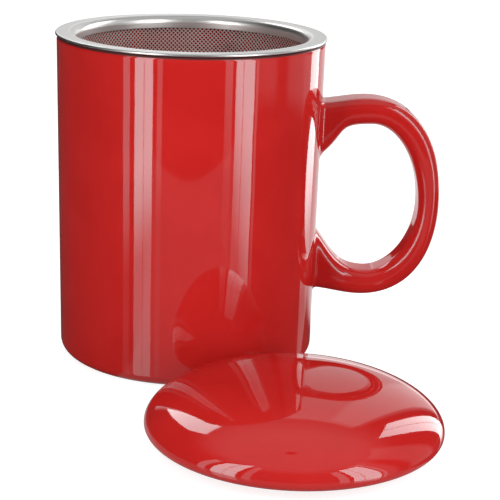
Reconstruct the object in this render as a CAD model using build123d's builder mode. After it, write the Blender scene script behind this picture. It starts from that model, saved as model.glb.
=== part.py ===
"""A glazed ceramic tea mug with a hanging steel infuser and a loose domed lid, in millimetres.

The origin is the middle of the foot, on the surface that the mug stands on, with +Z up.
The handle points along +X. The lid stands on the same surface, in front of the mug and towards the handle.
"""

import os
from math import cos, radians, sin

from build123d import *

# Mug: a slightly tapered cup with a rounded rim and a recessed foot
rim_diameter = 83.0
base_diameter = 81.0
mug_height = 101.2
wall = 4.0
floor_thickness = 5.0
base_corner = 3.2
inside_corner = 9.0
foot_width = 4.5
foot_height = 1.6
foot_edge = 0.6
rim_fullness = 0.475

# Handle: measured down from the rim and out from the wall
handle_drop = 18.0
handle_height = 63.7
handle_reach = 38.1
handle_width = 13.6
handle_edge = 3.0
top_arm = 8.3
side_arm = 6.6
bottom_arm = 7.7
bend_offset = 14.0
hole_offset = 1.8
side_sag = 0.8
hole_sag = 1.8
upper_dip = 1.8
lower_rise = 2.1
upper_root = 21.4
lower_root = 24.0
upper_flare = 3.9
lower_flare = 9.8
root_lead = 2.5
crest_lead = 6.0
upper_web = (9.3, 2.5)
lower_web = (3.7, 4.3)
outside_fullness = 0.62
inside_fullness = 0.52

# Infuser rim: a flange that lies on the mug's rim, a turned-down lip and a collar down into the mug
flange_overhang = 0.4
rim_sheet = 0.6
flange_lip = 0.15
flange_shoulder = 2.2
collar_height = 3.4
collar_gap = 1.2

# Infuser basket: woven cloth clamped on the collar, with a woven floor in a base ring
mesh_thickness = 0.44
clamp_height = 1.2
clamp_sheet = 0.35
basket_depth = 72.0
basket_gap = 1.0
ring_sheet = 0.5
ring_height = 4.5
ring_ledge = 3.5
ring_heel_fullness = 0.9

# Lid: a dome as wide as the flange, and a shallow ring under it that drops into the collar
dome_rise = 14.0
dome_fullness = 0.52
lid_edge_round = 2.0
lower_fullness = 0.98
lid_wall = 4.8
lid_hollow_rise = 5.0
lid_hollow_fullness = 0.62
lid_ring_depth = 3.1
lid_ring_wall = 2.8
lid_ring_gap = 1.3
lid_ring_edge = 1.0

# Where the lid stands: its direction from the mug's axis, and the gap between its edge and the mug's wall
lid_bearing = -68.3
lid_stand_gap = 0.5

# Radii and levels that several pieces share
rim_radius = rim_diameter / 2
base_radius = base_diameter / 2
inside_radius = rim_radius - wall
collar_outside = inside_radius - collar_gap
collar_inside = collar_outside - rim_sheet
collar_bottom = mug_height - collar_height
flange_top = mug_height + rim_sheet
clamp_top = mug_height - flange_shoulder
basket_bottom = mug_height - basket_depth

os.makedirs("parts", exist_ok=True)


def soften(sketch, corner, radius):
    """Rounds one corner of the outline that is being drawn."""
    fillet(sketch.vertices().sort_by_distance(corner)[0], radius)


def save(part, name):
    part.label = name
    export_step(part, f"parts/{name}.step")


# The cup: foot, wall, rim and floor in one turned outline
rim_round = rim_fullness * wall
floor_top = foot_height + floor_thickness
foot_inside = base_radius - base_corner - foot_width
inner_foot = (foot_inside, 0)
outer_foot = (base_radius, 0)
outer_rim = (rim_radius, mug_height)
inner_rim = (inside_radius, mug_height)
inner_floor = (base_radius - wall, floor_top)

with BuildPart() as mug_body:
    with BuildSketch(Plane.XZ) as cup_outline:
        with BuildLine():
            Polyline(
                inner_foot,
                outer_foot,
                outer_rim,
                inner_rim,
                inner_floor,
                (0, floor_top),
                (0, foot_height),
                (foot_inside, foot_height),
                close=True,
            )
        make_face()
        soften(cup_outline, outer_foot, base_corner)
        soften(cup_outline, outer_rim, rim_round)
        soften(cup_outline, inner_rim, rim_round)
        soften(cup_outline, inner_floor, inside_corner)
        soften(cup_outline, inner_foot, foot_edge)
    revolve(axis=Axis.Z)
save(mug_body.part, "mug_body")

# The handle: an ear-shaped outline, widened, with soft edges, trimmed where it is stuck on the cup's wall
ear_top = mug_height - handle_drop
ear_bottom = ear_top - handle_height
ear_side = rim_radius + handle_reach
ear_middle = (ear_top + ear_bottom) / 2 - side_sag
bend_x = rim_radius + bend_offset
hole_x = bend_x + hole_offset
root_x = inside_radius
hole_top = ear_top - top_arm
hole_bottom = ear_bottom + bottom_arm
upper_root_level = ear_top - upper_dip
lower_root_level = ear_bottom + lower_rise
top_crest = (bend_x, ear_top)
side_crest = (ear_side, ear_middle)
bottom_crest = (bend_x, ear_bottom)
hole_high = (hole_x, hole_top)
hole_right = (ear_side - side_arm, ear_middle - hole_sag)
hole_low = (hole_x, hole_bottom)


def level_to_upright(start, end, fullness):
    """A quarter turn that leaves level and arrives upright."""
    leave = (start[0] + fullness * (end[0] - start[0]), start[1])
    arrive = (end[0], end[1] + fullness * (start[1] - end[1]))
    return Bezier(start, leave, arrive, end)


def upright_to_level(start, end, fullness):
    """A quarter turn that leaves upright and arrives level."""
    leave = (start[0], start[1] + fullness * (end[1] - start[1]))
    arrive = (end[0] + fullness * (start[0] - end[0]), end[1])
    return Bezier(start, leave, arrive, end)


def outer_root(level, crest):
    """The outside of an arm, from inside the cup's wall out to its crest."""
    near = (rim_radius + root_lead, level)
    far = (crest[0] - crest_lead, crest[1])
    return Bezier((root_x, level), near, far, crest)


def inner_root(level, crest, flare, web):
    """The hole's side of an arm, where it flares towards the wall."""
    near = (rim_radius + web[0], crest[1] + flare)
    far = (rim_radius + web[1], crest[1])
    return Bezier((root_x, level), near, far, crest)


with BuildPart() as mug_handle:
    with BuildSketch(Plane.XZ):
        with BuildLine():
            outer_root(upper_root_level, top_crest)
            level_to_upright(top_crest, side_crest, outside_fullness)
            upright_to_level(side_crest, bottom_crest, outside_fullness)
            outer_root(lower_root_level, bottom_crest)
            Line((root_x, lower_root_level), (root_x, lower_root_level + lower_root))
            inner_root(lower_root_level + lower_root, hole_low, lower_flare, lower_web)
            level_to_upright(hole_low, hole_right, inside_fullness)
            upright_to_level(hole_right, hole_high, inside_fullness)
            inner_root(upper_root_level - upper_root, hole_high, -upper_flare, upper_web)
            Line((root_x, upper_root_level - upper_root), (root_x, upper_root_level))
        make_face()
    extrude(amount=handle_width / 2, both=True)
    front_edges = mug_handle.faces().sort_by(Axis.Y)[0].edges()
    back_edges = mug_handle.faces().sort_by(Axis.Y)[-1].edges()
    fillet((front_edges + back_edges).filter_by(GeomType.LINE, reverse=True), handle_edge)
    with BuildSketch(Plane.XZ):
        with BuildLine():
            Polyline((0, 0), (-base_radius, 0), (-rim_radius, mug_height), (0, mug_height), close=True)
        make_face()
    revolve(axis=Axis.Z, mode=Mode.SUBTRACT)
save(mug_handle.part, "mug_handle")

# The infuser's rim: one pressed sheet, from the turned-down lip over the flange into the collar
flange_radius = rim_radius + flange_overhang
shoulder_inside = flange_shoulder - rim_sheet
lip_inside = flange_radius - rim_sheet
lip_crest = (flange_radius, flange_top)
shoulder_crest = (collar_inside, flange_top)
shoulder_hollow = (collar_outside, mug_height)

with BuildPart() as infuser_rim:
    with BuildSketch(Plane.XZ) as rim_outline:
        with BuildLine():
            Polyline(
                (flange_radius, mug_height - flange_lip),
                lip_crest,
                shoulder_crest,
                (collar_inside, collar_bottom),
                (collar_outside, collar_bottom),
                shoulder_hollow,
                (lip_inside, mug_height),
                (lip_inside, mug_height - flange_lip),
                close=True,
            )
        make_face()
        soften(rim_outline, lip_crest, rim_sheet)
        soften(rim_outline, shoulder_crest, flange_shoulder)
        soften(rim_outline, shoulder_hollow, shoulder_inside)
    revolve(axis=Axis.Z)
save(infuser_rim.part, "infuser_rim")


def cup_inside(height):
    """The cup's inside radius at a height above its floor."""
    return base_radius - wall + (rim_radius - base_radius) * (height - floor_top) / (mug_height - floor_top)


# The cloth tapers from the collar to a foot that leaves the base ring clear of the cup
foot_radius = cup_inside(basket_bottom) - basket_gap - ring_sheet - mesh_thickness
taper = (collar_outside - foot_radius) / (collar_bottom - basket_bottom)


def cloth_radius(height):
    """The woven wall's inside radius at a height below the collar."""
    return collar_outside - taper * (collar_bottom - height)


# The woven wall: straight where it is clamped on the collar, tapered below it
with BuildPart() as mesh_wall:
    with BuildSketch(Plane.XZ):
        with BuildLine():
            Polyline(
                (collar_outside, clamp_top),
                (collar_outside, collar_bottom),
                (foot_radius, basket_bottom),
                (foot_radius + mesh_thickness, basket_bottom),
                (collar_outside + mesh_thickness, collar_bottom),
                (collar_outside + mesh_thickness, clamp_top),
                close=True,
            )
        make_face()
    revolve(axis=Axis.Z)
save(mesh_wall.part, "mesh_wall")

# The clamp band, which holds the cloth's top edge on the collar
clamp_inside = collar_outside + mesh_thickness
with BuildPart() as mesh_clamp_band:
    with BuildSketch(Plane.XY.offset(clamp_top - clamp_height)):
        Circle(clamp_inside + clamp_sheet)
        Circle(clamp_inside, mode=Mode.SUBTRACT)
    extrude(amount=clamp_height)
save(mesh_clamp_band.part, "mesh_clamp_band")

# The woven floor, which lies inside the wall's foot on the base ring's ledge
with BuildPart() as mesh_floor:
    with BuildSketch(Plane.XY.offset(basket_bottom)):
        Circle(foot_radius)
    extrude(amount=mesh_thickness)
save(mesh_floor.part, "mesh_floor")

# The base ring: a pressed channel round the wall's foot, with a ledge under the floor
ring_low = foot_radius + mesh_thickness
ring_high = cloth_radius(basket_bottom + ring_height) + mesh_thickness
ring_heel = (ring_low + ring_sheet, basket_bottom - ring_sheet)

with BuildPart() as base_ring:
    with BuildSketch(Plane.XZ) as ring_outline:
        with BuildLine():
            Polyline(
                (ring_low, basket_bottom),
                (ring_high, basket_bottom + ring_height),
                (ring_high + ring_sheet, basket_bottom + ring_height),
                ring_heel,
                (ring_low - ring_ledge, basket_bottom - ring_sheet),
                (ring_low - ring_ledge, basket_bottom),
                close=True,
            )
        make_face()
        soften(ring_outline, ring_heel, ring_heel_fullness * ring_sheet)
    revolve(axis=Axis.Z)
save(base_ring.part, "base_ring")

# The lid, drawn where it stands beside the mug, with its ring's foot at the surface
lid_radius = flange_radius
lid_distance = base_radius + lid_radius + lid_stand_gap
lid_x = lid_distance * cos(radians(lid_bearing))
lid_y = lid_distance * sin(radians(lid_bearing))
lid_plane = Plane(origin=(lid_x, lid_y, 0), x_dir=(1, 0, 0), z_dir=(0, -1, 0))
lid_axis = Axis((lid_x, lid_y, 0), (0, 0, 1))
edge_level = lid_ring_depth + lid_edge_round
crown = (0, edge_level + dome_rise)
hollow_crown = (0, crown[1] - lid_wall)
lid_ring_outside = collar_inside - lid_ring_gap
lid_ring_inside = lid_ring_outside - lid_ring_wall
dome_edge = (lid_radius, edge_level)
lower_edge = (lid_radius, lid_ring_depth)
ring_foot_outside = (lid_ring_outside, 0)
ring_foot_inside = (lid_ring_inside, 0)
hollow_edge = (lid_ring_inside, lid_hollow_rise)

with BuildPart() as lid:
    with BuildSketch(lid_plane) as lid_outline:
        with BuildLine():
            level_to_upright(crown, dome_edge, dome_fullness)
            Polyline(
                dome_edge,
                lower_edge,
                (lid_ring_outside, lid_ring_depth),
                ring_foot_outside,
                ring_foot_inside,
                hollow_edge,
            )
            upright_to_level(hollow_edge, hollow_crown, lid_hollow_fullness)
            Line(hollow_crown, crown)
        make_face()
        soften(lid_outline, lower_edge, lid_edge_round * lower_fullness)
        soften(lid_outline, ring_foot_outside, lid_ring_edge)
        soften(lid_outline, ring_foot_inside, lid_ring_edge)
    revolve(axis=lid_axis)
save(lid.part, "lid")
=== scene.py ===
"""A glazed tea mug with a hanging woven infuser and a loose domed lid.

Each visible piece stands in for one or more of the packed solids. Everything is in metres, in the
row's frame: the origin is the middle of the foot, +Z is up and the handle points along +X. Each
operator makes one piece or a group of like pieces, and the last one makes the stage.
"""

import math

import bmesh
import bpy
import numpy as np
from bpy.props import FloatProperty, FloatVectorProperty, IntProperty, PointerProperty
from mathutils import Matrix, Vector


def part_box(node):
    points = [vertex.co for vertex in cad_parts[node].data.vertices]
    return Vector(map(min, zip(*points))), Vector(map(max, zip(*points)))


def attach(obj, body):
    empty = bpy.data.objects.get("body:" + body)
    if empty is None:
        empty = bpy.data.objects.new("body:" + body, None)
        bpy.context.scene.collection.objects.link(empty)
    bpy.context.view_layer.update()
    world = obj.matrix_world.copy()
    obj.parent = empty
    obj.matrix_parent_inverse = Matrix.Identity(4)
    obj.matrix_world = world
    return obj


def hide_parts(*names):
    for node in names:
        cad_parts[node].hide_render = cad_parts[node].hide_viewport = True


bl_info = {
    "name": "Lidded Tea Mug",
    "version": (1, 0, 0),
    "blender": (4, 5, 0),
    "location": "View3D > Sidebar > Tea Mug",
    "description": "Makes a glazed tea mug, its woven infuser and its domed lid",
    "category": "Add Mesh",
}

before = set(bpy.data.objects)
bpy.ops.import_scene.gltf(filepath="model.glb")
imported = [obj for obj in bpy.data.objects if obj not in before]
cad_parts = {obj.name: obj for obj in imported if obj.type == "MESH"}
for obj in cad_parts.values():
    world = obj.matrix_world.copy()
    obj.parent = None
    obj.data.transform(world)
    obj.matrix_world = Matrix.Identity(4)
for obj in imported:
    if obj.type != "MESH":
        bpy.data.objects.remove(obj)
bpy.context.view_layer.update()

MM = 0.001
FLANGE_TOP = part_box("infuser_rim")[1].z
BASKET_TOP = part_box("mesh_wall")[1].z
LID_LOW, LID_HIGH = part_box("lid")
LID_CENTRE = (LID_LOW + LID_HIGH) / 2


def length(name, description, millimetres):
    """A size, given in millimetres and kept in metres."""
    return FloatProperty(
        name=name,
        description=description,
        default=millimetres * MM,
        unit="LENGTH",
        subtype="DISTANCE",
        precision=5,
    )


def share(name, description, default):
    """A number from 0 to 1."""
    return FloatProperty(
        name=name, description=description, default=default, min=0.0, max=1.0, subtype="FACTOR"
    )


def count(name, description, default):
    """A whole number of like things."""
    return IntProperty(
        name=name, description=description, default=default, min=1, subtype="UNSIGNED"
    )


def tint(name, description, default):
    """A linear colour."""
    return FloatVectorProperty(
        name=name, description=description, default=default, min=0.0, max=1.0, subtype="COLOR"
    )


class CupSizes(bpy.types.PropertyGroup):
    """The turned cup."""

    rim_radius: length("Rim radius", "Outside radius of the rim", 41.5)
    base_radius: length("Base radius", "Outside radius at the foot", 40.5)
    height: length("Height", "From the foot to the rim", 101.2)
    wall: length("Wall", "Thickness of the wall", 4.0)
    floor_top: length("Floor", "Height of the inside floor", 6.6)
    base_corner: length("Base corner", "Rounding outside at the foot", 3.2)
    inside_corner: length("Inside corner", "Rounding from wall to floor", 9.0)
    rim_round: length("Rim rounding", "Rounding of both its edges", 1.9)
    foot_width: length("Foot width", "Width of the ring it stands on", 4.5)
    foot_height: length("Foot recess", "Depth inside the foot ring", 1.6)
    foot_edge: length("Foot edge", "Rounding inside the foot ring", 0.6)
    bare_foot: length("Bare foot", "Height of the unglazed clay", 0.45)


class HandleSizes(bpy.types.PropertyGroup):
    """The ear-shaped handle."""

    drop: length("Drop", "From the rim to the handle's top", 18.0)
    height: length("Height", "From its top to its bottom", 63.7)
    reach: length("Reach", "From the rim out to its side", 38.1)
    width: length("Width", "Width across the handle", 13.6)
    edge: length("Edge rounding", "Rounding of its outer edges", 3.0)
    hole_edge: length("Hole edge rounding", "Rounding along its hole", 4.4)
    top_arm: length("Top arm", "Thickness of the upper arm", 8.3)
    side_arm: length("Side", "Thickness of the grip", 6.6)
    bottom_arm: length("Bottom arm", "Thickness of the lower arm", 7.7)
    bend: length("Bend", "From the rim to where the arms bend", 14.0)
    hole_shift: length("Hole shift", "How much further out the hole bends", 1.8)
    sag: length("Sag", "How far below the middle it is widest", 0.8)
    hole_sag: length("Hole sag", "How much lower the hole is widest", 1.8)
    dip: length("Dip", "Fall of the upper arm towards the cup", 1.8)
    climb: length("Climb", "Rise of the lower arm towards the cup", 2.1)
    upper_root: length("Upper root", "Height of the upper arm's root", 19.6)
    lower_root: length("Lower root", "Height of the lower arm's root", 21.8)
    root_glaze: length("Root glaze", "Width of the glaze at each root", 1.5)


class InfuserSizes(bpy.types.PropertyGroup):
    """The pressed steel rim and the woven basket."""

    flange_radius: length("Flange radius", "Outside radius of the flange", 41.9)
    sheet: length("Rim sheet", "Thickness of the rim's sheet", 0.6)
    lip: length("Lip", "How far its edge reaches below the rim", 0.15)
    shoulder: length("Shoulder", "Rounding from the flange into the collar", 2.2)
    collar_radius: length("Collar radius", "Outside radius of the collar", 36.3)
    collar_bottom: length("Collar bottom", "Height of the collar's lower edge", 97.8)
    cloth: length("Cloth thickness", "Thickness of the woven cloth", 0.44)
    basket_bottom: length("Basket bottom", "Height of the basket's floor", 29.2)
    foot_radius: length("Basket foot radius", "Inside radius at the floor", 34.8)
    ring_sheet: length("Ring sheet", "Thickness of the base ring", 0.5)
    ring_height: length("Ring height", "Height of the base ring", 4.5)
    ring_ledge: length("Ring ledge", "Width of the ledge under the floor", 3.5)
    band_height: length("Band height", "Height of the clamp band", 1.2)
    band_sheet: length("Band sheet", "Thickness of the clamp band", 0.35)
    wire: length("Wire", "Radius of a wire in the cloth", 0.13)
    around: count("Leaning wires", "Wires around the basket, each way", 168)
    up: count("Crossings", "Crossings along each wire", 102)
    across: count("Floor wires", "Wires across the floor, each way", 72)
    welds: count("Spot welds", "Welds round the band and the ring", 28)


class LidSizes(bpy.types.PropertyGroup):
    """The domed lid, which stands beside the cup."""

    radius: length("Radius", "Outside radius of the lid", 41.9)
    dome_rise: length("Dome rise", "From the widest point up to the crown", 14.0)
    dome_fullness: share("Dome fullness", "How squarely the dome turns down", 0.52)
    edge_round: length("Edge rounding", "Radius under the lid's edge", 1.96)
    edge_level: length("Edge level", "Height of the widest point", 5.1)
    ring_depth: length("Ring depth", "How far the ring reaches down", 3.1)
    wall: length("Wall", "Thickness at the crown", 4.8)
    hollow_rise: length("Hollow rise", "Height of the hollow's edge", 5.0)
    hollow_fullness: share("Hollow fullness", "How squarely the hollow turns down", 0.62)
    ring_outside: length("Ring radius", "Outside radius of the ring", 34.4)
    ring_wall: length("Ring wall", "Thickness of the ring", 2.8)
    ring_edge: length("Ring edge", "Rounding of the ring's foot", 1.0)


class Colours(bpy.types.PropertyGroup):
    """The colours of the glaze, clay, steel and stage."""

    glaze: tint("Glaze", "Red of the glaze", (0.55, 0.018, 0.016))
    glaze_deep: tint("Deep glaze", "Red where the glaze lies thick", (0.515, 0.015, 0.013))
    glaze_thin: tint("Thin glaze", "Red where the glaze is thin on the rim", (0.60, 0.045, 0.025))
    # Painted shade: the dark line that the flange's overhang casts round the rim
    under_flange_shade: tint("Painted flange shade", "Dark line round the rim, under the flange", (0.035, 0.012, 0.010))
    clay: tint("Clay", "The bare clay of the foot", (0.72, 0.66, 0.58))
    steel: tint("Brushed steel", "The infuser's rim", (0.63, 0.625, 0.615))
    bright_steel: tint("Bright steel", "The band and base ring", (0.56, 0.555, 0.545))
    wire: tint("Wire", "The woven cloth", (0.60, 0.59, 0.57))
    floor: tint("Floor", "The table and the background", (0.55, 0.55, 0.55))


SIZE_GROUPS = {
    "mug_cup": CupSizes,
    "mug_ear": HandleSizes,
    "mug_infuser": InfuserSizes,
    "mug_lid": LidSizes,
    "mug_colours": Colours,
}


# Shader and geometry formulas

# A Mix node has sockets of several kinds under the same names, so its colours go by number
MIX_COLOUR_INPUTS = (6, 7)
MIX_COLOUR_OUTPUT = 2


class Value:
    """A node's output that takes part in formulas, so that they read as they are written."""

    def __init__(self, tree, socket):
        self.tree = tree
        self.socket = socket

    def math(self, operation, *others):
        """A Math node of this value and others."""
        return self.of(operation, self, *others)

    def of(self, operation, *values):
        node = self.tree.nodes.new("ShaderNodeMath")
        node.operation = operation
        for socket, value in zip(node.inputs, values):
            if isinstance(value, Value):
                self.tree.links.new(value.socket, socket)
            else:
                socket.default_value = value
        return Value(self.tree, node.outputs[0])

    def __add__(self, other):
        return self.math("ADD", other)

    __radd__ = __add__

    def __sub__(self, other):
        return self.math("SUBTRACT", other)

    def __rsub__(self, other):
        return self.of("SUBTRACT", other, self)

    def __mul__(self, other):
        return self.math("MULTIPLY", other)

    __rmul__ = __mul__

    def __truediv__(self, other):
        return self.math("DIVIDE", other)

    def __mod__(self, other):
        return self.math("FLOORED_MODULO", other)

    def __floordiv__(self, other):
        return self.math("DIVIDE", other).math("FLOOR")


class Formula:
    """Adds nodes to one tree."""

    def __init__(self, tree):
        self.tree = tree

    def add(self, kind, sockets=None, settings=None, output=0):
        """A node with its settings made first, and then the values or links of its sockets."""
        node = self.tree.nodes.new(kind)
        for name, value in (settings or {}).items():
            setattr(node, name, value)
        for key, value in (sockets or {}).items():
            if isinstance(value, Value):
                self.link(value, node, key)
            else:
                node.inputs[key].default_value = value
        return Value(self.tree, node.outputs[output])

    def link(self, value, node, key):
        self.tree.links.new(value.socket, node.inputs[key])

    def place(self):
        """Where a point of the surface is, in the object's own coordinates."""
        return self.add("ShaderNodeTexCoord", output="Object")

    def parts(self, vector):
        """The three numbers of a vector."""
        split = self.add("ShaderNodeSeparateXYZ", {"Vector": vector})
        return [Value(self.tree, output) for output in split.socket.node.outputs]

    def vector(self, x, y, z):
        return self.add("ShaderNodeCombineXYZ", {"X": x, "Y": y, "Z": z})

    def around(self, angle, radius, height):
        """A place on a circle round the upright axis."""
        return self.vector(angle.math("COSINE") * radius, angle.math("SINE") * radius, height)

    def rise(self, value, low, high, start=0.0, end=1.0):
        """Goes smoothly from start to end while value goes from low to high."""
        return self.add(
            "ShaderNodeMapRange",
            {"Value": value, "From Min": low, "From Max": high, "To Min": start, "To Max": end},
            {"interpolation_type": "SMOOTHSTEP"},
        )

    def noise(self, place, scale, detail=2.0):
        sockets = {"Vector": place, "Scale": scale, "Detail": detail, "Roughness": 0.5}
        return self.add("ShaderNodeTexNoise", sockets)

    def blend(self, factor, first, second):
        """A mix of two colours, each a colour socket or three numbers."""
        colours = [c if isinstance(c, Value) else (*c, 1.0) for c in (first, second)]
        sockets = {"Factor": factor, **dict(zip(MIX_COLOUR_INPUTS, colours))}
        return self.add("ShaderNodeMix", sockets, {"data_type": "RGBA"}, MIX_COLOUR_OUTPUT)

    def emission(self, colour, strength):
        """Light of a colour, which is grey where one number is given."""
        if isinstance(colour, Value):
            colour = self.vector(colour, colour, colour)
        return self.add("ShaderNodeEmission", {"Color": colour, "Strength": strength})


def new_finish(name):
    """A material with an empty Principled surface: the material, its formulas and the surface."""
    material = bpy.data.materials.new(name)
    material.use_nodes = True
    tree = material.node_tree
    return material, Formula(tree), tree.nodes["Principled BSDF"]


def bumped(f, surface, height, distance):
    """Gives the surface a bump of that height, in metres."""
    bump = f.add("ShaderNodeBump", {"Height": height, "Distance": distance, "Strength": 1.0})
    f.link(bump, surface, "Normal")


# Noises of the glaze, in cells for each metre
MOTTLE, WAVES, SHEEN, WOBBLE, PEEL, CLAY_GRAIN = 55.0, 38.0, 160.0, 260.0, 420.0, 2600.0
# Below the rim: where the glaze turns thin, and the band of painted shade under the flange's edge,
# which also starts at a distance from the axis. The bare clay ends a little above its own height.
THIN_BAND = (1.3 * MM, 0.2 * MM)
FLANGE_SHADE_BAND = (1.2 * MM, 1.0 * MM)
FLANGE_SHADE_RADII = (39.9 * MM, 40.3 * MM)
BARE_EDGE = (0.3 * MM, 0.12 * MM)
BARE_WOBBLE = 0.5 * MM
GLAZE_ROUGHNESS, SHEEN_ROUGHNESS, BARE_ROUGHNESS, FLANGE_SHADE_ROUGHNESS = 0.035, 0.02, 0.8, 0.5
GLAZE_RELIEF = 0.10 * MM
WAVE_SHARE, PEEL_SHARE, GRAIN_SHARE = 0.8, 0.018, 0.25
GLAZE_IOR = 1.52
GLAZE_REFLECTION = (0.5, 0.97, 1.0, 1.0)


def scaled(colour, share_kept):
    """A colour made darker or lighter."""
    return tuple(min(1.0, c * share_kept) for c in colour)


def glaze_finish(name, colours, cup):
    """Glossy red glaze: uneven, thin on the rim, with painted shade under the flange, wiped off the
    feet.
    """
    material, f, surface = new_finish(name)
    place = f.place()
    x, y, z = f.parts(place)
    mottle = f.rise(f.noise(place, MOTTLE, 3.0), 0.35, 0.7)
    colour = f.blend(mottle, colours.glaze_deep, colours.glaze)
    below_rim = cup.height - z
    colour = f.blend(f.rise(below_rim, *THIN_BAND) * 0.6, colour, colours.glaze_thin)
    out = (x * x + y * y).math("SQRT")
    # Painted shade under the flange's edge: a dark band just below the rim, made rough to hold no
    # highlight
    flange_shade = f.rise(below_rim, *FLANGE_SHADE_BAND) * f.rise(out, *FLANGE_SHADE_RADII)
    colour = f.blend(flange_shade * 0.9, colour, colours.under_flange_shade)
    edge = z + f.noise(place, WOBBLE) * BARE_WOBBLE
    bare = f.rise(edge, *(cup.bare_foot + above for above in BARE_EDGE))
    grain = f.noise(place, CLAY_GRAIN, 3.0)
    clay = f.blend(f.rise(grain, 0.3, 0.75), scaled(colours.clay, 0.8), colours.clay)
    f.link(f.blend(bare, colour, clay), surface, "Base Color")
    gloss = GLAZE_ROUGHNESS + SHEEN_ROUGHNESS * f.noise(place, SHEEN)
    f.link(gloss + bare * BARE_ROUGHNESS + flange_shade * FLANGE_SHADE_ROUGHNESS, surface, "Roughness")
    waves, peel = f.noise(place, WAVES, 1.0), f.noise(place, PEEL)
    relief = waves * WAVE_SHARE + peel * PEEL_SHARE + bare * grain * GRAIN_SHARE
    bumped(f, surface, relief, GLAZE_RELIEF)
    surface.inputs["IOR"].default_value = GLAZE_IOR
    surface.inputs["Specular Tint"].default_value = GLAZE_REFLECTION
    return material


# Marks left by turning, in cells for each metre across them and for each radian along them
FINE_MARKS, BROAD_MARKS = (9000.0, 2.2), (1500.0, 1.2)
WEAR = 120.0
BRUSHED_ROUGHNESS, POLISHED_ROUGHNESS = 0.29, 0.2
FINE_ROUGHNESS, WEAR_ROUGHNESS, COLLAR_ROUGHNESS = 0.16, 0.05, 0.08
MEAN_ROUGHNESS = 0.09
MARK_DEPTH = 0.002 * MM
# The collar's steel, brighter than the flange's, and how far below the flange it starts
COLLAR_STEEL = (0.90, 0.88, 0.85)
COLLAR_BAND = (0.5 * MM, 1.6 * MM)


def turned_steel_finish(name, colour, roughness):
    """Steel with fine marks that run round the upright axis."""
    material, f, surface = new_finish(name)
    place = f.place()
    x, y, z = f.parts(place)
    out = (x * x + y * y).math("SQRT")
    turn = y.math("ARCTAN2", x)
    fine, broad = (
        f.noise(f.vector(out * across, turn * along, z * across), 1.0)
        for across, along in (FINE_MARKS, BROAD_MARKS)
    )
    wear = f.noise(place, WEAR, 3.0)
    marks = f.rise(fine * 0.6 + broad * 0.4, 0.3, 0.7)
    shade = f.blend(marks, scaled(colour, 0.86), scaled(colour, 1.08))
    down = f.rise(z, *(FLANGE_TOP - below for below in COLLAR_BAND))
    f.link(f.blend(down * 0.5, shade, COLLAR_STEEL), surface, "Base Color")
    uneven = COLLAR_ROUGHNESS * down + FINE_ROUGHNESS * fine + WEAR_ROUGHNESS * wear
    f.link(roughness - MEAN_ROUGHNESS + uneven, surface, "Roughness")
    bumped(f, surface, fine + broad * 0.6, MARK_DEPTH)
    surface.inputs["Metallic"].default_value = 1.0
    return material


# The wires' noises, in cells for each metre
WIRE_PATCHES, WIRE_DULLNESS = 900.0, 2300.0


def wire_finish(name, colour):
    """Drawn steel wire, a little dull and uneven from wire to wire."""
    material, f, surface = new_finish(name)
    place = f.place()
    shade = f.blend(f.noise(place, WIRE_PATCHES), scaled(colour, 1.1), scaled(colour, 1.5))
    f.link(shade, surface, "Base Color")
    f.link(0.36 + 0.18 * f.noise(place, WIRE_DULLNESS, 1.0), surface, "Roughness")
    surface.inputs["Metallic"].default_value = 1.0
    return material


def finish_of(name):
    """One of the finishes that this script makes, made when it is first asked for."""
    own = name + "_finish"
    found = bpy.data.materials.get(own)
    if found:
        return found
    scene = bpy.context.scene
    colours = scene.mug_colours
    if name == "red_glaze":
        return glaze_finish(own, colours, scene.mug_cup)
    if name == "brushed_rim_steel":
        return turned_steel_finish(own, colours.steel, BRUSHED_ROUGHNESS)
    if name == "bright_steel":
        return turned_steel_finish(own, colours.bright_steel, POLISHED_ROUGHNESS)
    return wire_finish(own, colours.wire)


# Outlines and turned pieces

# Beside each arc of an outline, a narrow strip keeps the flat next to it flat in its shading
FLAT_SUPPORT = 0.12 * MM
SUPPORT_SHARE = 0.3
SEGMENTS = 224
SAME_PLACE = 1e-7


def unit(vector):
    """The same direction with a length of 1."""
    return vector / np.linalg.norm(vector)


def curve_points(points, steps):
    """Points along one cubic curve, without its last one."""
    a, b, c, d = (np.array(p, float) for p in points)
    t = np.linspace(0, 1, steps, endpoint=False)[:, None]
    return (1 - t) ** 3 * a + 3 * t * (1 - t) ** 2 * b + 3 * t * t * (1 - t) * c + t**3 * d


def quarter(level_end, upright_end, fullness):
    """The four points of a quarter turn from a level end to an upright one."""
    leave = (level_end[0] + fullness * (upright_end[0] - level_end[0]), level_end[1])
    arrive = (upright_end[0], upright_end[1] + fullness * (level_end[1] - upright_end[1]))
    return [level_end, leave, arrive, upright_end]


def round_corner(before, corner, after, radius, steps):
    """Points on the arc that rounds one corner of an outline."""
    corner = np.array(corner)
    towards, onwards = unit(np.array(before) - corner), unit(np.array(after) - corner)
    half = math.acos(np.clip(towards @ onwards, -1, 1)) / 2
    reach = radius / math.tan(half)
    centre = corner + unit(towards + onwards) * radius / math.sin(half)
    first, last = corner + towards * reach - centre, corner + onwards * reach - centre
    square = np.array((-first[1], first[0]))
    a = np.linspace(0, math.atan2(last @ square, last @ first), steps + 1)[:, None]
    return centre + (first * np.cos(a) + square * np.sin(a))


def soft_outline(corners, closed, steps):
    """An outline of (radius, height, rounding) corners, with a narrow strip beside each arc."""
    made = []
    total = len(corners)
    for k, (r, z, rounding) in enumerate(corners):
        if rounding <= 0 or (not closed and k in (0, total - 1)):
            made.append(np.array((r, z)))
            continue
        before, after = corners[k - 1][:2], corners[(k + 1) % total][:2]
        arc = round_corner(before, (r, z), after, rounding, steps)
        strips = []
        for end, neighbour in ((arc[0], before), (arc[-1], after)):
            run = np.array(neighbour) - end
            room = np.linalg.norm(run)
            strips.append(end + run / room * min(FLAT_SUPPORT, SUPPORT_SHARE * room))
        made.extend((strips[0], *arc, strips[1]))
    return made


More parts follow.
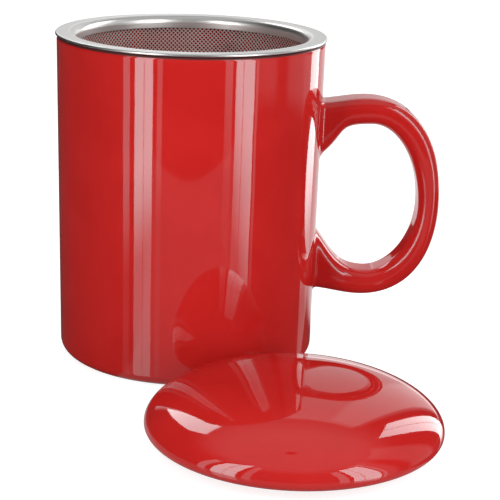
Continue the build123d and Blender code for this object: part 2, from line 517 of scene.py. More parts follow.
def skin(name, rows, finish, closed=False):
    """A smooth piece over rows of points, with its faces outwards. Equal points become a pole."""
    rows = np.array(rows)
    total, around = rows.shape[:2]
    faces = []
    for k in range(total if closed else total - 1):
        low, high = k * around, (k + 1) % total * around
        for j in range(around):
            m = (j + 1) % around
            faces.append((low + j, low + m, high + m, high + j))
    mesh = bpy.data.meshes.new(name)
    mesh.from_pydata(rows.reshape(-1, 3).tolist(), [], faces)
    work = bmesh.new()
    work.from_mesh(mesh)
    bmesh.ops.remove_doubles(work, verts=work.verts, dist=SAME_PLACE)
    bmesh.ops.recalc_face_normals(work, faces=work.faces)
    work.to_mesh(mesh)
    work.free()
    mesh.shade_smooth()
    mesh.materials.append(finish)
    return linked(name, mesh)


def turned(name, corners, finish, centre=(0.0, 0.0), closed=False, steps=10):
    """An outline of (radius, height, rounding) corners, turned about an upright axis."""
    angles = [2 * math.pi * k / SEGMENTS for k in range(SEGMENTS)]
    rows = [
        [(centre[0] + r * math.cos(a), centre[1] + r * math.sin(a), z) for a in angles]
        for r, z in soft_outline(corners, closed, steps)
    ]
    return skin(name, rows, finish, closed)


def linked(name, data):
    """A new object in the scene."""
    made = bpy.data.objects.new(name, data)
    bpy.context.scene.collection.objects.link(made)
    return made


def placed(piece, body, slot, *nodes):
    """Sets the piece on its body, in place of the solids that it dresses."""
    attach(piece, body)
    if nodes:
        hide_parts(*nodes)


# Points along the lid's curves, and small roundings of the outlines
DOME_STEPS, HOLLOW_STEPS = 48, 32
RECESS_CORNER = 0.5 * MM
UNDERSIDE_CORNER = 0.3 * MM
LIP_EDGE, LIP_INNER_EDGE, LIP_CORNER = 0.10 * MM, 0.08 * MM, 0.03 * MM
SHEET_EDGE, ROLLED_EDGE = 0.14 * MM, 0.2 * MM
BAND_INNER_EDGE, BAND_OUTER_EDGE = 0.1 * MM, 0.12 * MM


def cup_corners(cup):
    """The cup from its recess, over foot, wall and rim, to the middle of its floor."""
    base, rim, recess, floor_top = cup.base_radius, cup.rim_radius, cup.foot_height, cup.floor_top
    foot = base - cup.base_corner - cup.foot_width
    return [
        (0.0, recess, 0.0),
        (foot * 0.5, recess, 0.0),
        (foot, recess, RECESS_CORNER),
        (foot, 0.0, cup.foot_edge),
        (base, 0.0, cup.base_corner),
        (rim, cup.height, cup.rim_round),
        (rim - cup.wall, cup.height, cup.rim_round),
        (base - cup.wall, floor_top, cup.inside_corner),
        (0.3 * base, floor_top, 0.0),
        (0.0, floor_top, 0.0),
    ]


def lid_corners(lid):
    """The lid from its crown, over its edge and ring, to the middle of its hollow."""
    level, depth, outside = lid.edge_level, lid.ring_depth, lid.ring_outside
    crown, edge = (0.0, level + lid.dome_rise), (lid.radius, level)
    hollow_crown = (0.0, crown[1] - lid.wall)
    hollow_edge = (outside - lid.ring_wall, lid.hollow_rise)
    dome = quarter(crown, edge, lid.dome_fullness)
    hollow = quarter(hollow_crown, hollow_edge, lid.hollow_fullness)
    return [
        *((r, z, 0.0) for r, z in curve_points(dome, DOME_STEPS)),
        (*edge, 0.0),
        (lid.radius, depth, lid.edge_round),
        (outside, depth, UNDERSIDE_CORNER),
        (outside, 0.0, lid.ring_edge),
        (hollow_edge[0], 0.0, lid.ring_edge),
        (*hollow_edge, 0.0),
        *((r, z, 0.0) for r, z in curve_points(hollow, HOLLOW_STEPS)[::-1]),
    ]


def rim_corners(infuser, cup):
    """The infuser's rim, from the lip's edge over the flange and down the collar, and back."""
    outside, collar, sheet = infuser.flange_radius, infuser.collar_radius, infuser.sheet
    top, lip, low = cup.height + sheet, cup.height - infuser.lip, infuser.collar_bottom
    return [
        (outside, lip, LIP_EDGE),
        (outside, top, sheet),
        (collar - sheet, top, infuser.shoulder),
        (collar - sheet, low, SHEET_EDGE),
        (collar, low, SHEET_EDGE),
        (collar, cup.height, infuser.shoulder - sheet),
        (outside - sheet, cup.height, LIP_CORNER),
        (outside - sheet, lip, LIP_INNER_EDGE),
    ]


def cloth_radius(infuser, height):
    """The cloth's inside radius at a height below the collar."""
    down = (infuser.collar_bottom - height) / (infuser.collar_bottom - infuser.basket_bottom)
    return infuser.collar_radius + (infuser.foot_radius - infuser.collar_radius) * down


# The handle

# How squarely the handle's outside and its hole turn, and what steers both lines near the cup: out
# from the rim to where the arms start to bend, back from the bend to where they are level, and for
# the webs at the hole's ends, out from the rim and away from the arm
OUTSIDE_FULLNESS, HOLE_FULLNESS = 0.62, 0.52
BEND_START, LEVEL_BACK = 2.5 * MM, 6.0 * MM
UPPER_WEB = (9.3 * MM, 3.9 * MM)
LOWER_WEB = (3.7 * MM, 9.8 * MM)
LOWER_WEB_START = 4.3 * MM


def handle_curves(ear, cup, steps=44):
    """The handle's outer and inner lines from root to root, point for point, in X and Z."""
    rim = cup.rim_radius
    root, side, bend = rim - cup.wall, rim + ear.reach, rim + ear.bend
    top = cup.height - ear.drop
    bottom = top - ear.height
    middle = (top + bottom) / 2 - ear.sag
    hole_top, hole_bottom = top - ear.top_arm, bottom + ear.bottom_arm
    upper, lower = top - ear.dip, bottom + ear.climb
    lead, tail = rim + BEND_START, bend - LEVEL_BACK
    crest, widest, low_crest = (bend, top), (side, middle), (bend, bottom)
    hole_high, hole_low = ((bend + ear.hole_shift, z) for z in (hole_top, hole_bottom))
    hole_side = (side - ear.side_arm, middle - ear.hole_sag)
    upper_web = (rim + UPPER_WEB[0], hole_top - UPPER_WEB[1])
    lower_web = (rim + LOWER_WEB[0], hole_bottom + LOWER_WEB[1])
    web_start = (rim + LOWER_WEB_START, hole_bottom)
    outer = [
        [(root, upper), (lead, upper), (tail, top), crest],
        quarter(crest, widest, OUTSIDE_FULLNESS),
        quarter(low_crest, widest, OUTSIDE_FULLNESS)[::-1],
        [low_crest, (tail, bottom), (lead, lower), (root, lower)],
    ]
    inner = [
        [(root, upper - ear.upper_root), upper_web, (lead, hole_top), hole_high],
        quarter(hole_high, hole_side, HOLE_FULLNESS),
        quarter(hole_low, hole_side, HOLE_FULLNESS)[::-1],
        [hole_low, web_start, lower_web, (root, lower + ear.lower_root)],
    ]
    return [
        np.vstack([*(curve_points(curve, steps) for curve in curves), curves[-1][-1]])
        for curves in (outer, inner)
    ]


# No rounding takes up more of the section than this share of its smaller half
LARGEST_ROUNDING = 0.96


def handle_section(half_height, half_width, outer_round, hole_round, corner_steps=9, side_steps=5):
    """Points around a section, rounded on each side in its own way, and the way out at each."""
    limit = LARGEST_ROUNDING * min(half_height, half_width)
    arcs, ways = [], []
    for k, (u, v) in enumerate(((1, 1), (-1, 1), (-1, -1), (1, -1))):
        rounding = min(outer_round if u > 0 else hole_round, limit)
        centre = np.array((u * (half_height - rounding), v * (half_width - rounding)))
        a = (k + np.linspace(0, 1, corner_steps)[:, None]) * math.pi / 2
        ways.append(np.hstack((np.cos(a), np.sin(a))))
        arcs.append(centre + rounding * ways[-1])
    t = np.arange(1, side_steps)[:, None] / side_steps
    points, outwards = [], []
    for k in range(4):
        start, end = arcs[k][-1], arcs[(k + 1) % 4][0]
        points += [arcs[k], start * (1 - t) + end * t]
        outwards += [ways[k], np.tile(ways[k][-1], (side_steps - 1, 1))]
    return np.vstack(points), np.vstack(outwards)


# The roots: the row from which the arm is left as it is, the steps over the fillet and along the
# arm, the least steepness at which it meets the wall, and how the glaze's edge is tucked in
STEADY_ROW, FILLET_STEPS, ARM_STEPS = 18, 8, 12
LEAST_STEEPNESS = 0.35
TUCK_ASIDE, TUCK_SHALLOW, TUCK_DEEP = 0.35 * MM, 0.03 * MM, 0.9 * MM


def between(points, place):
    """A point of a row of points, at a place that may lie between two of them."""
    low = int(place)
    high = min(low + 1, len(points) - 1)
    return points[low] * (1 - place % 1) + points[high] * (place % 1)


def build_handle(ear, cup):
    """Rows of points along the handle, with a smooth fillet of glaze onto the cup at both roots."""
    rows, out_rows = [], []
    for (outer_x, outer_z), (inner_x, inner_z) in zip(*handle_curves(ear, cup)):
        centre = np.array(((outer_x + inner_x) / 2, 0.0, (outer_z + inner_z) / 2))
        across = np.array((outer_x - inner_x, 0.0, outer_z - inner_z))
        plane = np.array((unit(across), (0.0, 1.0, 0.0)))
        half = np.linalg.norm(across) / 2
        section, outwards = handle_section(half, ear.width / 2, ear.edge, ear.hole_edge)
        rows.append(centre + section @ plane)
        out_rows.append(outwards @ plane)
    rows, out_rows = np.array(rows), np.array(out_rows)
    slope = (cup.rim_radius - cup.base_radius) / cup.height

    def wall_radius(z):
        return cup.base_radius + slope * z

    def on_wall(p, sink=0.0):
        k = (wall_radius(p[2]) - sink) / math.hypot(p[0], p[1])
        return p * (k, k, 1.0)

    def root(rows, out_rows):
        """Each line of one root, from inside the wall, over the fillet, to the steady row."""
        lines = []
        for path, outwards in zip(rows.transpose(1, 0, 2), out_rows.transpose(1, 0, 2)):
            gap = np.hypot(path[:, 0], path[:, 1]) - wall_radius(path[:, 2])
            k = int(np.argmax(gap > ear.root_glaze))
            share_along = (ear.root_glaze - gap[k - 1]) / (gap[k] - gap[k - 1])
            start = path[k - 1] + (path[k] - path[k - 1]) * share_along
            inward = unit(path[k - 1] - path[k])
            normal = unit(np.append(unit(start[:2]), -slope))
            steepness = max(LEAST_STEEPNESS, -inward @ normal)
            meets = start + inward * (ear.root_glaze / steepness)
            aside = unit(outwards[k] - (outwards[k] @ normal) * normal)
            landing = on_wall(meets + aside * ear.root_glaze)
            t = np.arange(FILLET_STEPS, 0, -1)[:, None] / FILLET_STEPS
            fillet = (1 - t) ** 2 * start + 2 * t * (1 - t) * on_wall(meets) + t * t * landing
            tucked = landing + aside * TUCK_ASIDE
            hidden = [on_wall(tucked, TUCK_DEEP), on_wall(tucked, TUCK_SHALLOW)]
            places = np.linspace(k - 1 + share_along, STEADY_ROW, ARM_STEPS + 1)[1:]
            lines.append([*hidden, *fillet, start, *(between(path, place) for place in places)])
        return np.array(lines).transpose(1, 0, 2)

    steady = STEADY_ROW + 1
    upper = root(rows[:steady], out_rows[:steady])
    lower = root(rows[::-1][:steady], out_rows[::-1][:steady])
    rows = np.concatenate([upper, rows[steady:-steady], lower[::-1]])
    poles = [np.broadcast_to(row.mean(axis=0), row.shape) for row in (rows[0], rows[-1])]
    return [poles[0], *rows, poles[1]]


# Woven cloth and spot welds, made by geometry nodes


def node_tree(name, *floats, **kinds):
    """An empty geometry tree: the tree, its formulas, its inputs' values and its output node."""
    tree = bpy.data.node_groups.new(name, "GeometryNodeTree")
    new_socket = tree.interface.new_socket
    new_socket("Geometry", in_out="OUTPUT", socket_type="NodeSocketGeometry")
    kinds = {"Finish": "Material", **kinds, **dict.fromkeys(floats, "Float")}
    for label, kind in kinds.items():
        new_socket(label, in_out="INPUT", socket_type="NodeSocket" + kind)
    source = tree.nodes.new("NodeGroupInput")
    values = {label: Value(tree, source.outputs[label]) for label in kinds}
    return tree, Formula(tree), values, tree.nodes.new("NodeGroupOutput")


def end_tree(f, geometry, finish, target):
    """Ends a tree with real geometry that wears its finish."""
    real = f.add("GeometryNodeRealizeInstances", {"Geometry": geometry})
    dressed = f.add("GeometryNodeSetMaterial", {"Geometry": real, "Material": finish})
    f.link(dressed, target, "Geometry")


# Sides of a wire, and how far it swings to each side at a crossing, as a share of its radius
WIRE_SIDES = 4
CRIMP = 0.42


def wires_from(f, points, group, wire, finish, target):
    """Turns points into wires, one for each group, and ends the tree."""
    lines = f.add("GeometryNodePointsToCurves", {"Points": points, "Curve Group ID": group})
    ring = f.add("GeometryNodeCurvePrimitiveCircle", {"Resolution": WIRE_SIDES, "Radius": wire})
    sockets = {"Curve": lines, "Profile Curve": ring, "Fill Caps": True}
    tubes = f.add("GeometryNodeCurveToMesh", sockets)
    smooth = f.add("GeometryNodeSetShadeSmooth", {"Geometry": tubes})
    end_tree(f, smooth, finish, target)


def wall_weave_tree():
    """Crimped wires on a tapered wall, all leaning one way, or the other way where Turned is on."""
    floats = ("Bottom", "Collar", "Top", "Foot_Radius", "Collar_Radius", "Wire")
    ints = {"Around": "Int", "Up": "Int"}
    tree, f, v, target = node_tree("woven_wall", *floats, Turned="Bool", **ints)
    around, up = v["Around"], v["Up"]
    index = f.add("GeometryNodeInputIndex")
    i, k = index // (up + 1), index % (up + 1)
    way = 1 - 2 * v["Turned"]
    swing = ((k % 2) * 2 - 1) * way * v["Wire"] * CRIMP
    height = v["Bottom"] + (v["Top"] - v["Bottom"]) * (k / up)
    down = ((v["Collar"] - height) / (v["Collar"] - v["Bottom"])).math("MAXIMUM", 0.0)
    taper = v["Foot_Radius"] - v["Collar_Radius"]
    radius = v["Collar_Radius"] + taper * down + swing
    angle = (i + k * way * 0.5) / around * (2 * math.pi)
    where = f.around(angle, radius, height)
    points = f.add("GeometryNodePoints", {"Count": around * (up + 1), "Position": where})
    wires_from(f, points, i, v["Wire"], v["Finish"], target)
    return tree


def floor_weave_tree():
    """Crimped wires across a round floor, along X, or along Y where Turned is on."""
    floats = ("Radius", "Height", "Wire")
    tree, f, v, target = node_tree("woven_floor", *floats, Across="Int", Turned="Bool")
    across, turned_way, radius = v["Across"], v["Turned"], v["Radius"]
    straight = 1 - turned_way
    index = f.add("GeometryNodeInputIndex")
    line, step = index // across, index % across
    pitch = radius * 2 / across
    off = (line + 0.5) * pitch - radius
    along = (step + 0.5) * pitch - radius
    side = ((line + step) % 2) * 2 - 1
    swing = side * (1 - 2 * turned_way) * v["Wire"] * CRIMP
    x = off * turned_way + along * straight
    y = along * turned_way + off * straight
    where = f.vector(x, y, v["Height"] + swing)
    points = f.add("GeometryNodePoints", {"Count": across * across, "Position": where})
    marked = f.add(
        "GeometryNodeStoreNamedAttribute",
        {"Geometry": points, "Name": "line", "Value": line},
        {"data_type": "INT"},
    )
    outside = (x * x + y * y).math("SQRT").math("GREATER_THAN", radius - pitch * 0.4)
    kept = f.add(
        "GeometryNodeDeleteGeometry",
        {"Geometry": marked, "Selection": outside},
        {"domain": "POINT"},
    )
    group = f.add("GeometryNodeInputNamedAttribute", {"Name": "line"}, {"data_type": "INT"})
    wires_from(f, kept, group, v["Wire"], v["Finish"], target)
    return tree


def weld_tree():
    """Low round weld marks, evenly spaced round an upright axis."""
    floats = ("Radius", "Height", "Mark", "Proud")
    tree, f, v, target = node_tree("spot_welds", *floats, Count="Int")
    index = f.add("GeometryNodeInputIndex")
    angle = index / v["Count"] * (2 * math.pi)
    where = f.around(angle, v["Radius"], v["Height"])
    points = f.add("GeometryNodePoints", {"Count": v["Count"], "Position": where})
    ball = f.add("GeometryNodeMeshUVSphere", {"Segments": 10, "Rings": 6, "Radius": 1.0})
    mark = f.add("GeometryNodeSetShadeSmooth", {"Geometry": ball})
    size = f.vector(v["Proud"], v["Mark"], v["Mark"])
    sockets = {"Rotation": f.vector(0.0, 0.0, angle), "Scale": size}
    sockets.update(Points=points, Instance=mark)
    end_tree(f, f.add("GeometryNodeInstanceOnPoints", sockets), v["Finish"], target)
    return tree


def made_by_nodes(name, tree, finish, **settings):
    """A plain mesh object from a geometry tree with its inputs set."""
    holder = linked(name + "_maker", bpy.data.meshes.new(name + "_maker"))
    modifier = holder.modifiers.new("maker", "NODES")
    modifier.node_group = tree
    settings["Finish"] = finish
    for socket in tree.interface.items_tree:
        if socket.in_out == "INPUT":
            modifier[socket.identifier] = settings[socket.name]
    bpy.context.view_layer.update()
    seen = holder.evaluated_get(bpy.context.evaluated_depsgraph_get())
    mesh = bpy.data.meshes.new_from_object(seen)
    bpy.data.objects.remove(holder)
    mesh.name = name
    if not mesh.vertices:
        raise RuntimeError(f"{name} came out empty")
    return linked(name, mesh)


# The operators

WELD_MARK, WELD_PROUD = 0.55 * MM, 0.07 * MM
WELD_LEVEL = 0.55
FLOOR_CLOTH_GAP = 0.1 * MM


class MUG_OT_cup(bpy.types.Operator):
    """Makes the turned cup"""

    bl_idname = "mug.cup"
    bl_label = "Cup"

    def execute(self, context):
        piece = turned("mug_cup", cup_corners(context.scene.mug_cup), finish_of("red_glaze"))
        placed(piece, "mug", "red_glaze", "mug_body")
        return {"FINISHED"}


class MUG_OT_handle(bpy.types.Operator):
    """Makes the ear-shaped handle with its glazed roots"""

    bl_idname = "mug.handle"
    bl_label = "Handle"

    def execute(self, context):
        rows = build_handle(context.scene.mug_ear, context.scene.mug_cup)
        piece = skin("mug_ear_handle", rows, finish_of("red_glaze"))
        placed(piece, "mug", "red_glaze", "mug_handle")
        return {"FINISHED"}


class MUG_OT_infuser_rim(bpy.types.Operator):
    """Makes the infuser's brushed flange and collar"""

    bl_idname = "mug.infuser_rim"
    bl_label = "Infuser rim"

    def execute(self, context):
        corners = rim_corners(context.scene.mug_infuser, context.scene.mug_cup)
        finish = finish_of("brushed_rim_steel")
        piece = turned("infuser_flange", corners, finish, closed=True, steps=6)
        placed(piece, "infuser", "brushed_rim_steel", "infuser_rim")
        return {"FINISHED"}


class MUG_OT_basket(bpy.types.Operator):
    """Weaves the basket's wall and floor from crimped wires"""

    bl_idname = "mug.basket"
    bl_label = "Woven basket"

    def execute(self, context):
        infuser = context.scene.mug_infuser
        finish = finish_of("woven_steel")
        wire, half = infuser.wire, infuser.cloth / 2
        wall = {
            "Around": infuser.around,
            "Up": infuser.up,
            "Bottom": infuser.basket_bottom + wire,
            "Collar": infuser.collar_bottom,
            "Top": BASKET_TOP - wire * 1.5,
            "Foot_Radius": infuser.foot_radius + half,
            "Collar_Radius": infuser.collar_radius + half,
        }
        floor = {
            "Across": infuser.across,
            "Radius": infuser.foot_radius - FLOOR_CLOTH_GAP,
            "Height": infuser.basket_bottom + half,
        }
        for node, tree, sizes, names in (
            ("mesh_wall", wall_weave_tree(), wall, ("wires_right", "wires_left")),
            ("mesh_floor", floor_weave_tree(), floor, ("floor_wires_x", "floor_wires_y")),
        ):
            for name, other_way in zip(names, (False, True)):
                sizes.update(Turned=other_way, Wire=wire)
                piece = made_by_nodes("basket_" + name, tree, finish, **sizes)
                placed(piece, "infuser", "woven_steel", node)
        return {"FINISHED"}


class MUG_OT_fittings(bpy.types.Operator):
    """Makes the clamp band, the base ring and their spot welds"""

    bl_idname = "mug.fittings"
    bl_label = "Band, base ring and welds"

    def execute(self, context):
        infuser = context.scene.mug_infuser
        finish = finish_of("bright_steel")
        inside = infuser.collar_radius + infuser.cloth
        outside = inside + infuser.band_sheet
        low, high = BASKET_TOP - infuser.band_height, BASKET_TOP
        band = [
            (inside, low, BAND_INNER_EDGE),
            (outside, low, BAND_OUTER_EDGE),
            (outside, high, BAND_OUTER_EDGE),
            (inside, high, BAND_INNER_EDGE),
        ]
        piece = turned("clamp_band", band, finish, closed=True, steps=3)
        placed(piece, "infuser", "bright_steel", "mesh_clamp_band")
        bottom, sheet = infuser.basket_bottom, infuser.ring_sheet
        top = bottom + infuser.ring_height
        ring_low = infuser.foot_radius + infuser.cloth
        ring_high = cloth_radius(infuser, top) + infuser.cloth
        ledge = ring_low - infuser.ring_ledge
        ring = [
            (ring_low, bottom, BAND_INNER_EDGE),
            (ring_high, top, SHEET_EDGE),
            (ring_high + sheet, top, ROLLED_EDGE),
            (ring_low + sheet, bottom - sheet, 0.9 * sheet),
            (ledge, bottom - sheet, ROLLED_EDGE),
            (ledge, bottom, SHEET_EDGE),
        ]
        piece = turned("base_ring_channel", ring, finish, closed=True, steps=5)
        placed(piece, "infuser", "bright_steel", "base_ring")
        tree = weld_tree()
        level = bottom + infuser.ring_height * WELD_LEVEL
        ring_radius = cloth_radius(infuser, level) + infuser.cloth + sheet
        for name, radius, height in (
            ("band_welds", outside, (low + high) / 2),
            ("ring_welds", ring_radius, level),
        ):
            sizes = {"Radius": radius, "Height": height, "Mark": WELD_MARK, "Proud": WELD_PROUD}
            piece = made_by_nodes(name, tree, finish, Count=infuser.welds, **sizes)
            placed(piece, "infuser", "bright_steel")
        return {"FINISHED"}


class MUG_OT_lid(bpy.types.Operator):
    """Makes the domed lid where it stands"""

    bl_idname = "mug.lid"
    bl_label = "Lid"

    def execute(self, context):
        corners = lid_corners(context.scene.mug_lid)
        piece = turned("domed_lid", corners, finish_of("red_glaze"), LID_CENTRE)
        placed(piece, "lid", "red_glaze", "lid")
        return {"FINISHED"}


# The stage

CAMERA_PLACE = (0.0, -0.472949, 0.172576)
CAMERA_YAW, CAMERA_PITCH, CAMERA_ROLL = 0.0425, 0.28859, 0.03204
SENSOR = 36.0
LENS = SENSOR * 1532.294 / 500.0

# Lit upright sheets: the foot of one side, the foot of the other, the heights of both upper
# corners and the brightness, and for the sheet's image in the shiny table the height where it
# fades out and how dim it gets
SHEETS = (
    ((-0.2133, -0.2162), (-0.1723, -0.2996), (0.271, 0.450), 7.2, -0.055, 1.9),
    ((-0.2355, -0.1690), (-0.2235, -0.1965), (0.271, 0.271), 2.0, -0.055, 0.3),
    ((-0.1610, -0.3240), (-0.1510, -0.3670), (0.450, 0.450), 1.3, -0.055, 0.2),
    ((0.3850, -0.5110), (0.3450, -0.2650), (0.690, 0.445), 7.4, -0.150, 0.6),
    ((0.3490, -0.6530), (0.3880, -0.5700), (0.690, 0.690), 1.7, -0.150, 0.2),
    ((0.3300, -0.2430), (0.3270, -0.2250), (0.445, 0.445), 1.3, -0.150, 0.2),
    ((0.3870, 0.4100), (0.3490, 0.1900), (0.520, 0.520), 5.5, -0.120, 0.5),
)
# A sheet brighter than this lights the object, and has a narrow seam before its middle
LIGHTING_FROM = 3.0
SEAM = 0.022
IMAGE_DEPTH = 0.17
# The table as reflections see it: its front edge, its reach, the bearings of its lit front (middle
# and half width) and of its lit back, in degrees, and the levels at its sides, front and back
TABLE_FRONT, TABLE_REACH, TABLE_DROP = -0.285, 0.9, 0.1 * MM
TABLE_AHEAD, TABLE_BEHIND = (2.0, 34.0), (105.0, 125.0)
TABLE_LEVELS = (0.03, 0.38, 0.95)
# Parts of the room's wall: bearing from the camera's side towards the handle's, half width, lower
# and upper edge, slant of the lower edge, softness of the sides, all in degrees, and brightness
WALLS = (
    (0.0, 32.0, -3.0, 56.0, 0.0, 4.0, 0.09),
    (66.0, 11.0, -12.5, 58.0, 0.0, 8.0, 0.5),
    (104.0, 14.0, -12.5, 58.0, 0.0, 8.0, 0.5),
    (167.5, 15.0, -4.0, 52.0, 0.0, 1.0, 0.8),
    (194.0, 13.0, 8.0, 44.0, 0.0, 4.0, 1.15),
    (157.0, 6.0, -4.0, 50.0, 0.0, 2.0, 0.4),
    (-145.0, 8.0, 31.0, 52.0, 1.35, 1.0, 6.0),
)
WALL_EDGE = 1.5
DIM_WALLS, CEILING = 0.025, 0.66
CEILING_EDGE = (42.0, 66.0)
# A round dark opening in the ceiling, by the sideways part of a direction of length 1
HATCH_BACK, HATCH_EDGE = 0.11, (0.042, 0.034)
FLOOR_GLOW, FLOOR_REACH, FLOOR_DROP = 0.8, 3.0, 0.05 * MM
DEGREES = 180 / math.pi
WHITE = (1.0, 1.0, 1.0, 1.0)


def studio_world():
    """A dim room with lit walls. What the camera sees of it is plain white."""
    world = bpy.data.worlds.new("studio")
    world.use_nodes = True
    tree = world.node_tree
    f = Formula(tree)
    x, y, z = f.parts(f.add("ShaderNodeTexCoord", output="Generated"))
    height = z.math("ARCSINE") * DEGREES
    level = DIM_WALLS + f.rise(height, *CEILING_EDGE) * (CEILING - DIM_WALLS)
    for bearing, half, low, high, slant, soft, bright in WALLS:
        a = math.radians(bearing)
        forward = x * math.sin(a) - y * math.cos(a)
        sideways = x * math.cos(a) + y * math.sin(a)
        off = sideways.math("ARCTAN2", forward) * DEGREES
        window = f.rise(off.math("ABSOLUTE"), half + soft / 2, half - soft / 2)
        window = window * f.rise(height - off * slant, low, low + WALL_EDGE)
        window = window * f.rise(height, high, high - WALL_EDGE)
        level = level + window * bright
    back = y - HATCH_BACK
    hatch = f.rise((x * x + back * back).math("SQRT"), *HATCH_EDGE)
    level = level * (1 - hatch * z.math("GREATER_THAN", 0.0))
    seen = f.add("ShaderNodeLightPath", output="Is Camera Ray")
    background = tree.nodes["Background"]
    f.link(level * (1 - seen) + seen, background, "Strength")
    background.inputs["Color"].default_value = WHITE
    bpy.context.scene.world = world


def level_corners(reach, front, back, height=0.0):
    """The corners of a level rectangle."""
    plan = ((-reach, front), (reach, front), (reach, back), (-reach, back))
    return [(x, y, height) for x, y in plan]


def stage_face(name, corners, material):
    """A flat face of the stage."""
    mesh = bpy.data.meshes.new(name)
    mesh.from_pydata(corners, [], [(0, 1, 2, 3)])
    mesh.materials.append(material)
    face = linked(name, mesh)
    return face


def glowing_face(name, corners, level, seen_by_light):
    """A face that glows by a formula of its place. It casts no shadow and the camera misses it."""
    material, f, surface = new_finish(name)
    material.node_tree.nodes.remove(surface)
    glow = level(f, *f.parts(f.place()))
    if not seen_by_light:
        clear = f.add("ShaderNodeBsdfTransparent")
        glow = f.add("ShaderNodeAddShader", {0: glow, 1: clear})
        material.cycles.emission_sampling = "NONE"
    f.link(glow, material.node_tree.nodes["Material Output"], "Surface")
    face = stage_face(name, corners, material)
    face.visible_camera = False
    face.visible_shadow = False
    face.visible_diffuse = seen_by_light


def lit_sheet(name, first, second, tops, bright, fade, dim):
    """An upright glowing sheet, and under the table its fading image, seen by reflections only."""
    lighting = bright > LIGHTING_FROM

    def even(f, *_):
        return f.emission(WHITE, bright)

    def image(f, _x, _y, z):
        return f.emission(f.rise(z, fade, 0.0, dim / bright, 1.0), bright)

    halves = ((0.0, 0.5 - SEAM), (0.5, 1.0)) if lighting else ((0.0, 1.0),)
    one, other = (np.array((*foot, top)) for foot, top in zip((first, second), tops))
    for part, shares in enumerate(halves):
        left, right = (tuple(one + (other - one) * t) for t in shares)
        foot = [(*left[:2], 0.0), (*right[:2], 0.0)]
        deep = [(x, y, -IMAGE_DEPTH) for x, y, _ in foot]
        glowing_face(f"{name}_{part}", [*foot, right, left], even, lighting)
        glowing_face(f"{name}_{part}_image", [*deep, *foot[::-1]], image, False)


def lit_table():
    """The pale table as reflections see it: lit in front and behind, and dim at both sides."""
    dim, front, back = TABLE_LEVELS
    middle, half = TABLE_AHEAD

    def level(f, x, y, _):
        bearing = x.math("ARCTAN2", y * -1.0) * DEGREES
        ahead = f.rise((bearing - middle).math("ABSOLUTE"), half + 2.0, half - 2.0)
        behind = f.rise(bearing, *TABLE_BEHIND)
        return f.emission(ahead * front + behind * back + dim, 1.0)

    corners = level_corners(TABLE_REACH, TABLE_FRONT, TABLE_REACH, -TABLE_DROP)
    glowing_face("lit_table", corners, level, False)


def floor_finish(colour):
    """Pale matt table, white to the camera except where the object shades it."""
    material, f, surface = new_finish("pale_table")
    surface.inputs["Base Color"].default_value = (*colour, 1.0)
    surface.inputs["Roughness"].default_value = 0.9
    surface.inputs["Specular IOR Level"].default_value = 0.0
    plain = Value(material.node_tree, surface.outputs[0])
    seen = f.add("ShaderNodeLightPath", output="Is Camera Ray")
    glow = f.emission(WHITE, FLOOR_GLOW)
    both = f.add("ShaderNodeAddShader", {0: glow, 1: plain})
    mixed = f.add("ShaderNodeMixShader", {0: seen, 1: plain, 2: both})
    f.link(mixed, material.node_tree.nodes["Material Output"], "Surface")
    return material


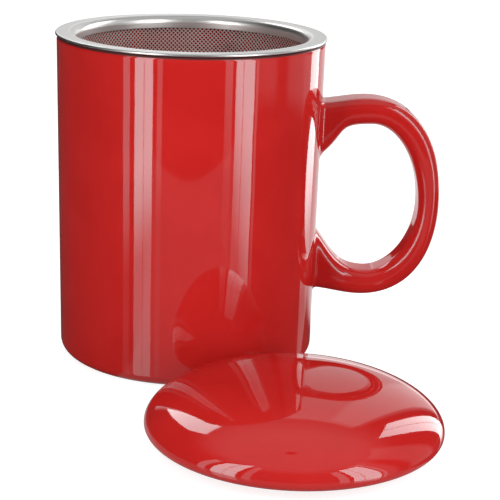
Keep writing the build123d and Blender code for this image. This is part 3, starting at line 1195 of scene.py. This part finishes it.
def set_camera(scene):
    """Puts the scene's camera in its place, turned by its yaw, pitch and roll."""
    yaw, pitch, roll = CAMERA_YAW, CAMERA_PITCH, CAMERA_ROLL
    ahead = math.cos(pitch)
    forward = Vector((math.sin(yaw) * ahead, math.cos(yaw) * ahead, -math.sin(pitch)))
    level = Vector((math.cos(yaw), -math.sin(yaw), 0.0))
    upright = level.cross(forward)
    right = level * math.cos(roll) + upright * math.sin(roll)
    up = upright * math.cos(roll) - level * math.sin(roll)
    lens = bpy.data.cameras.new("camera")
    lens.sensor_width = SENSOR
    lens.lens = LENS
    lens.clip_start = 0.01
    camera = linked("camera", lens)
    turn = Matrix((right, up, -forward)).transposed()
    camera.matrix_world = Matrix.Translation(CAMERA_PLACE) @ turn.to_4x4()
    scene.camera = camera


class MUG_OT_stage(bpy.types.Operator):
    """Makes the floor, the light and the camera"""

    bl_idname = "mug.stage"
    bl_label = "Stage"

    def execute(self, context):
        scene = context.scene
        corners = level_corners(FLOOR_REACH, -FLOOR_REACH, FLOOR_REACH)
        floor = stage_face("floor", corners, floor_finish(scene.mug_colours.floor))
        floor.location.z = -FLOOR_DROP
        floor.visible_glossy = False
        for k, sheet in enumerate(SHEETS):
            lit_sheet(f"lit_sheet_{k}", *sheet)
        lit_table()
        studio_world()
        set_camera(scene)
        scene.view_settings.view_transform = "Standard"
        return {"FINISHED"}


MUG_PIECES = (MUG_OT_cup, MUG_OT_handle, MUG_OT_infuser_rim, MUG_OT_basket, MUG_OT_fittings)
OPERATORS = (*MUG_PIECES, MUG_OT_lid, MUG_OT_stage)


class MUG_PT_panel(bpy.types.Panel):
    """Lists the mug's pieces and sizes"""

    bl_idname = "MUG_PT_panel"
    bl_label = "Tea mug"
    bl_space_type = "VIEW_3D"
    bl_region_type = "UI"
    bl_category = "Tea Mug"

    def draw(self, context):
        for operator in OPERATORS:
            self.layout.operator(operator.bl_idname)
        for name, group in SIZE_GROUPS.items():
            box = self.layout.box()
            box.label(text=group.__doc__)
            for key in group.__annotations__:
                box.prop(getattr(context.scene, name), key)


def register():
    for cls in (*SIZE_GROUPS.values(), *OPERATORS, MUG_PT_panel):
        bpy.utils.register_class(cls)
    for name, group in SIZE_GROUPS.items():
        setattr(bpy.types.Scene, name, PointerProperty(type=group))


def unregister():
    for name in SIZE_GROUPS:
        delattr(bpy.types.Scene, name)
    for cls in reversed((*SIZE_GROUPS.values(), *OPERATORS, MUG_PT_panel)):
        bpy.utils.unregister_class(cls)


def main():
    """Makes every piece and the stage."""
    register()
    for operator in OPERATORS:
        group, name = operator.bl_idname.split(".")
        getattr(getattr(bpy.ops, group), name)()


if __name__ == "__main__":
    main()
